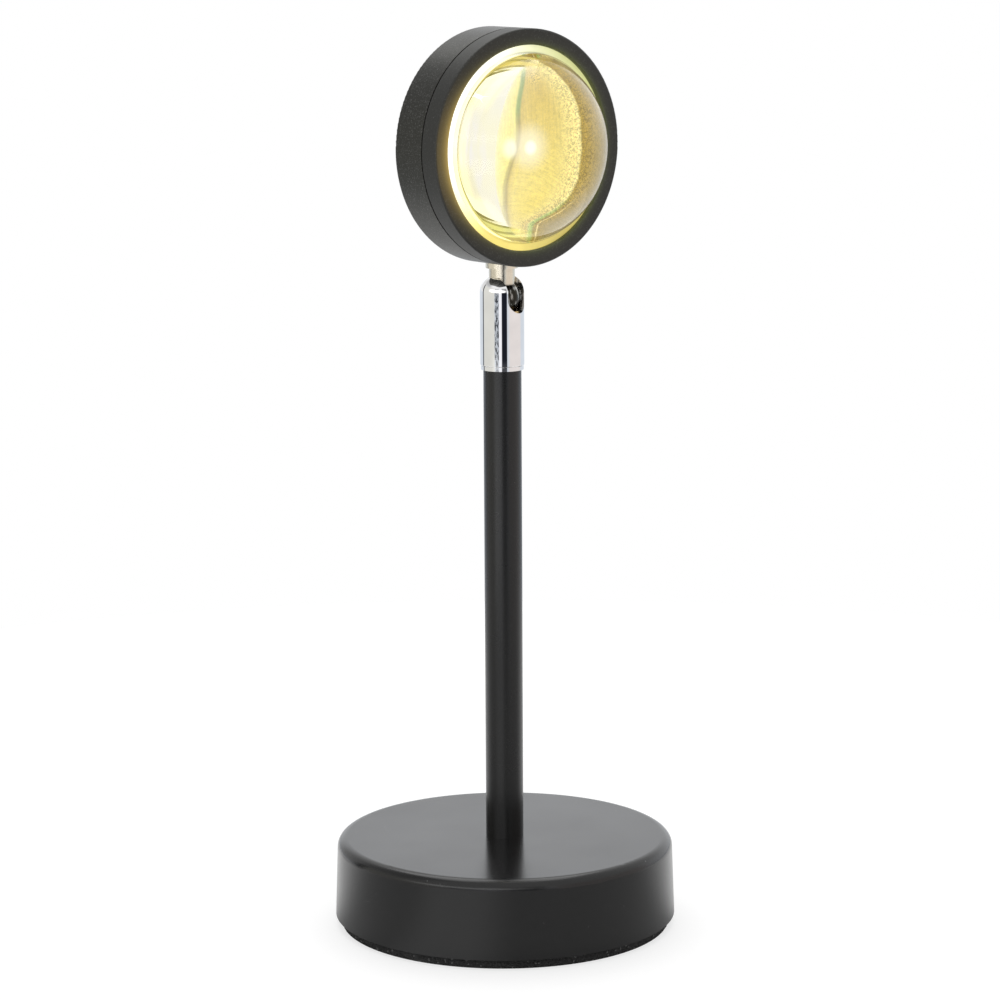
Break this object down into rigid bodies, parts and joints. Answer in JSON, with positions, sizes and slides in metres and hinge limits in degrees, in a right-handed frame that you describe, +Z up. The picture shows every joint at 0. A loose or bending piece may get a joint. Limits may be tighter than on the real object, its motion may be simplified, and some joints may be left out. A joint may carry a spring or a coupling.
{
  "type": "sunset projection lamp",
  "caption": "Small table lamp: round weighted base, straight pole, slotted swivel joint, and a round head with a glass dome lens over a colour film.",
  "frame": {"origin": "centre of the foot pad's underside, on the pole's axis", "axes": "+Z up along the pole, the head looks along -Y at rest, +X to the head's left as it looks out"},
  "size_m": [0.1, 0.1008, 0.2622],
  "materials": {
    "black_powder_coat": "fine matt powder coat",
    "raw_iron": "cast, rough",
    "black_foam": "closed-cell foam, granular",
    "black_rubber": "moulded",
    "zinc_steel": "zinc plated",
    "spring_steel": "blued",
    "polished_chrome": "polished",
    "satin_nickel": "warm satin nickel",
    "turned_brass": "turned",
    "silicone_pad": "soft pad",
    "board_white": "white solder mask",
    "chip_yellow": "phosphor under clear silicone",
    "resistor_black": "moulded",
    "lead_insulation": "smooth",
    "reflector_white": "white, diffuse",
    "sunset_film": "coated film, lit from behind",
    "frosted_ring": "frosted, lit from behind",
    "clear_glass": "polished"
  },
  "bodies": {
    "stand": {"base_shell": "black_powder_coat", "counterweight": "raw_iron", "foot_pad": "black_foam", "cable_grommet": "black_rubber", "base_nipple": "zinc_steel", "base_washer": "zinc_steel", "base_lock_washer": "zinc_steel", "base_nut": "zinc_steel", "pole_tube": "black_powder_coat", "pole_bush_lower": "zinc_steel", "pole_bush_upper": "zinc_steel", "joint_stem": "polished_chrome", "joint_snap_ring": "spring_steel"},
    "barrel": {"joint_barrel": "polished_chrome", "ball_seat": "turned_brass", "seat_spring": "spring_steel"},
    "head": {"neck_half_left": "satin_nickel", "neck_half_right": "satin_nickel", "neck_washer": "zinc_steel", "neck_nut": "zinc_steel", "rear_casing": "black_powder_coat", "front_bezel": "black_powder_coat", "thermal_pad": "silicone_pad", "led_board": "board_white", "led_package": "chip_yellow", "board_resistors": "resistor_black", "board_screws": "zinc_steel", "board_leads": "lead_insulation", "reflector_cup": "reflector_white", "colour_film": "sunset_film", "light_ring": "frosted_ring", "lens": "clear_glass"}
  },
  "joints": [
    {"name": "pan", "type": "hinge", "parent": "stand", "child": "barrel", "pos_m": [0, 0, 0.18542], "axis": [0, 0, 1], "range_deg": [-175, 175]},
    {"name": "tilt", "type": "hinge", "parent": "barrel", "child": "head", "pos_m": [0, 0, 0.18542], "axis": [0.9703, 0.2419, 0], "range_deg": [0, 90]}
  ]
}
